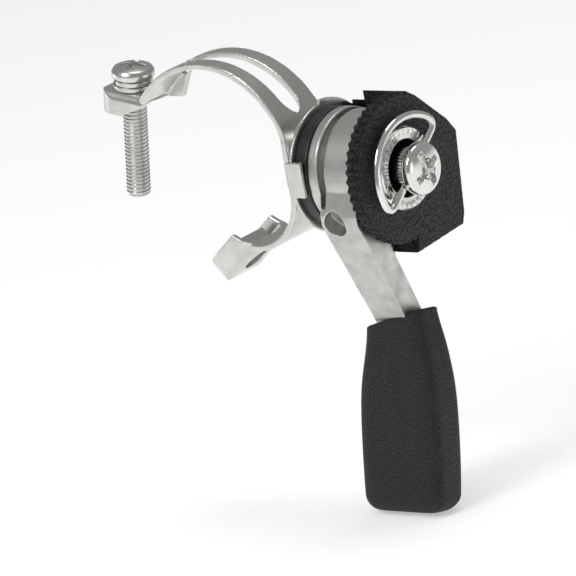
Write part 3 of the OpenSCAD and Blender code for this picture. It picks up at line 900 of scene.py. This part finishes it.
@dataclass
class Cover:
    """The toothed cover with its block, and the dial washer with its scale."""

    cell: float = 0.175
    rounds: int = 2
    ticks: int = 30
    long_each: int = 5
    long_stroke: Tuple[float, float] = (0.26, 6.3)  # half-width and inner radius
    short_stroke: Tuple[float, float] = (0.17, 6.9)
    stroke_end: float = 7.6
    stroke_depth: float = 0.16
    bore_r: float = 5.8

    def moulding(self) -> bpy.types.Object:
        """Cover with its edges broken."""
        return softened("toothed_cover", "cover", self.cell, self.rounds)

    def dial(self) -> bpy.types.Object:
        """Dished washer with a scale of short strokes sunk into its face."""
        box = Box.of("dial_washer")
        r1 = box.high[1] - box.centre[1]
        r0, t = self.bore_r, box.high[0] - box.low[0]
        face = np.linspace(r1 - 0.9, r0 + 0.35, 30)
        dish = t - 0.22 * smooth_step(-face, -(r1 - 0.9), -(r0 + 0.5))
        rim = fillet([[r0, 0.05], [r1 - 0.05, 0.05], [r1, 0.45], [r1 - 0.5, t + 0.02]], 0.22, closed=False)
        profile = np.vstack([rim, np.stack([face, dish], 1), [[r0 + 0.1, t - 0.3], [r0, t - 0.5]]])

        def scale(r: Array, h: Array, angle: Array) -> Tuple[Array, Array]:
            """Sinks the strokes of the scale."""
            place = angle / TURN * self.ticks
            off = np.abs(place - np.round(place)) / self.ticks * TURN * r
            long = (np.round(place) % self.long_each) == 0
            wide = np.where(long, self.long_stroke[0], self.short_stroke[0])
            inner = np.where(long, self.long_stroke[1], self.short_stroke[1])
            stroke = (1 - smooth_step(off - wide, -0.06, 0.06)) * smooth_step(r - inner, -0.08, 0.08)
            stroke = stroke * (1 - smooth_step(r, self.stroke_end, self.stroke_end + 0.15)) * (h > t - 0.35)
            return r, h - self.stroke_depth * stroke

        return turned("dial", lever_axes(box.low[0]), profile, 720, ring=True, shape=scale)

    def build(self, shop: Workshop) -> None:
        """Builds the cover and the dial."""
        shop.fit(self.moulding(), COVER_BLACK, Body.FRAME, ["cover"])
        shop.fit(self.dial(), NICKEL, Body.FRAME, ["dial_washer"])


@dataclass
class FrictionScrew:
    """The knurled, cross-slotted friction screw and its wire bail."""

    head_d: float = 10.8
    head_h: float = 3.3
    neck_d: float = 9.0
    shank_d: float = 4.9
    knurls: int = 40
    knurl_depth: float = 0.16
    slot_turn: float = 25.0  # degrees
    slot_depth: float = 1.2
    well_depth: float = 2.0
    bail_dir: float = 36.0
    fold: float = 6.0
    wire_d: float = 1.7
    bail_w: float = 25.0
    drop: float = 1.5
    corner: float = 2.4
    leg_from: float = 2.2
    pivot_below_top: float = 4.3
    seat_below_top: float = 8.95

    def screw(self) -> bpy.types.Object:
        """Shank, knurled neck and domed head with two crossed slots."""
        box = Box.of("adjust_screw")
        top, low = box.high[0], box.low[0]
        neck = top - self.head_h
        seat = top - self.seat_below_top
        r1, rn, rs = self.head_d / 2, self.neck_d / 2, self.shank_d / 2
        shank = [[0, low], [rs - 0.4, low], [rs, low + 0.5], [rs, seat], [rn - 0.15, seat]]
        corner = fillet(shank, 0.15, closed=False)
        wall = np.stack([np.full(24, rn), np.linspace(seat + 0.2, neck - 0.15, 24)], 1)
        rim = [[rn, neck], [r1 - 0.3, neck], [r1, neck + 0.5], [r1, top - 1.45], [r1 - 0.45, top - 0.95]]
        brim = fillet(rim, 0.4, closed=False)
        radii = np.linspace(r1 - 0.5, 0, 110)
        dome = np.sqrt(np.clip(1 - (radii / (r1 + 1.2)) ** 2, 0, 1))
        dome = top - (1 - dome) / (1 - dome[0]) * 0.92
        profile = np.vstack([corner, wall, brim, np.stack([radii, dome], 1)])
        turn = math.radians(self.slot_turn)

        def cut(r: Array, h: Array, angle: Array) -> Tuple[Array, Array]:
            """Knurls the neck and sinks the slots, deeper where they cross."""
            on_neck = (np.abs(r - rn) < 0.01) & (h > seat + 0.1) & (h < neck - 0.05)
            r = r - on_neck * self.knurl_depth * np.abs(((angle / TURN * self.knurls) % 1) * 2 - 1)
            x, y = r * np.cos(angle - turn), r * np.sin(angle - turn)
            arm = np.minimum(np.abs(x), np.abs(y))
            reach = np.maximum(np.abs(x), np.abs(y))
            slot = (1 - smooth_step(arm, 0.72, 0.95)) * (1 - smooth_step(reach, 3.3, 4.0))
            well = 1 - smooth_step(r, 1.5, 2.3)
            return r, h - (h > top - 1.0) * np.maximum(slot * self.slot_depth, well * self.well_depth)

        return turned("friction_screw", lever_axes(0), profile, 400, shape=cut)

    def bail(self) -> bpy.types.Object:
        """Round wire: two legs on the pivot line, round corners and a bow of one arc."""
        wire = self.wire_d / 2
        r = self.bail_w / 2 - wire
        reach = math.sqrt(r**2 - self.drop**2)
        start = math.asin(self.drop / r) + self.corner / r
        leg = np.stack([np.linspace(self.leg_from, reach - self.corner, 14), np.zeros(14)], 1)
        bow_a = np.linspace(start, math.pi - start, 90)
        bow = np.stack([r * np.cos(bow_a), r * np.sin(bow_a) - self.drop], 1)
        t = np.linspace(0, 1, 14)[1:-1, None]
        turn = (1 - t) ** 2 * leg[-1] + 2 * t * (1 - t) * np.array([reach, 0]) + t**2 * bow[0]
        flip = np.array([-1, 1])
        flat = np.vstack([leg, turn, bow, turn[::-1] * flip, leg[::-1] * flip])
        fold, turned_by = math.radians(self.fold), math.radians(self.bail_dir)
        top = Box.of("adjust_screw").high[0]
        across, up = flat[:, 0], flat[:, 1] * math.cos(fold)
        out = -flat[:, 1] * math.sin(fold)
        c, s = math.cos(turned_by), math.sin(turned_by)
        local = np.stack([across * c - up * s, across * s + up * c, out], 1)
        normal = np.array([-s * math.sin(fold), c * math.sin(fold), math.cos(fold)])
        axes = lever_axes(top - self.pivot_below_top)
        return swept("wire_bail", axes.place(local), wire, normal @ axes.rows, 24)

    def build(self, shop: Workshop) -> None:
        """Builds the screw and the bail."""
        shop.fit(self.screw(), NICKEL, Body.ADJUST_SCREW, ["adjust_screw"])
        shop.fit(self.bail(), NICKEL, Body.BAIL, ["d_ring"])


# name: place as (right, up, back) in metres from the part, side in metres and watts
LIGHTS = {
    "key": ((-0.5, 0.35, 0.5), 0.3, 1.7),
    "fill": ((0.6, 0.0, 0.5), 0.2, 0.3),
    "top": ((0.0, 0.75, 0.1), 0.3, 1.2),
    "rim": ((-0.55, -0.1, -0.3), 0.3, 0.5),
}


@dataclass
class Studio:
    """Floor, lights and camera."""

    right: Tuple[float, float, float] = (0.777, 0.604, -0.176)
    up: Tuple[float, float, float] = (-0.034, 0.321, 0.947)
    width: float = 115.2  # millimetres across the view
    distance: float = 1500.0
    shift: Tuple[float, float] = (-22.1, -23.7)  # from the lever's axis at its cover to the view's centre
    floor_side: float = 6.0  # metres
    floor_gap: float = 0.0005  # metres
    floor_glow: float = 0.42
    world_glow: float = 0.36

    def back(self) -> Array:
        """Direction from the target to the camera."""
        return np.cross(self.right, self.up)

    def camera(self) -> None:
        """Long-lens camera that frames the part."""
        mark = lever_axes(Box.of("lever").high[0] + 1).origin
        target = mark + self.shift[0] * np.array(self.right) + self.shift[1] * np.array(self.up)
        data = bpy.data.cameras.new("camera")
        data.sensor_width = 36.0
        data.lens = data.sensor_width * self.distance / self.width
        data.clip_start, data.clip_end = 0.1, 20.0
        obj = bpy.data.objects.new("camera", data)
        bpy.context.scene.collection.objects.link(obj)
        rows = np.array([self.right, self.up, self.back()])
        rows /= np.linalg.norm(rows, axis=1)[:, None]
        turn = Matrix(rows.T.tolist()).to_quaternion().to_matrix()
        place = Vector((target + self.distance * self.back()) * MM)
        obj.matrix_world = Matrix.Translation(place) @ turn.to_4x4()
        bpy.context.scene.camera = obj

    def light(self, name: str, way: Sequence[float], size: float, watts: float) -> None:
        """Adds a soft light.

        Args:
            name: name of the light.
            way: place in the camera's terms, as (right, up, back) in metres from the part.
            size: side of the light in metres.
            watts: power.
        """
        data = bpy.data.lights.new(name, "AREA")
        data.size = size
        data.energy = watts
        obj = bpy.data.objects.new(name, data)
        bpy.context.scene.collection.objects.link(obj)
        centre = Vector((cad_low + cad_high) / 2)
        offset = sum((Vector(v) * w for v, w in zip((self.right, self.up, self.back()), way)), Vector())
        obj.location = centre + offset
        obj.rotation_mode = "QUATERNION"
        obj.rotation_quaternion = offset.to_track_quat("Z", "Y")

    def build(self) -> None:
        """Builds the floor, the lights, the world and the camera."""
        side = self.floor_side
        z = cad_low.z - self.floor_gap
        mesh = bpy.data.meshes.new("floor")
        corners = [(-side, -side, z), (side, -side, z), (side, side, z), (-side, side, z)]
        mesh.from_pydata(corners, [], [(0, 1, 2, 3)])
        floor = link("floor", mesh)
        material = bpy.data.materials.new("pale_floor")
        material.use_nodes = True
        shader = material.node_tree.nodes["Principled BSDF"]
        shader.inputs["Base Color"].default_value = (0.93, 0.93, 0.93, 1)
        shader.inputs["Roughness"].default_value = 0.9
        shader.inputs["Emission Color"].default_value = (1, 1, 1, 1)
        shader.inputs["Emission Strength"].default_value = self.floor_glow
        floor.data.materials.append(material)
        for name, (way, size, watts) in LIGHTS.items():
            self.light(name, way, size, watts)
        world = bpy.data.worlds.new("studio")
        world.use_nodes = True
        world.node_tree.nodes["Background"].inputs[0].default_value = (0.9, 0.9, 0.9, 1)
        world.node_tree.nodes["Background"].inputs[1].default_value = self.world_glow
        bpy.context.scene.world = world
        bpy.context.scene.view_settings.view_transform = "Standard"
        self.camera()


def main() -> None:
    """Builds the part in order, then the studio."""
    shop = Workshop()
    parts: List = [BarClamp(), ClampScrew(), PivotBase(), LeverArm(), Cover(), FrictionScrew()]
    for part in parts:
        part.build(shop)
        log.info("%s done", type(part).__name__)
    Studio().build()


if __name__ == "__main__":
    logging.basicConfig(level=logging.INFO, format="%(name)s: %(message)s")
    main()
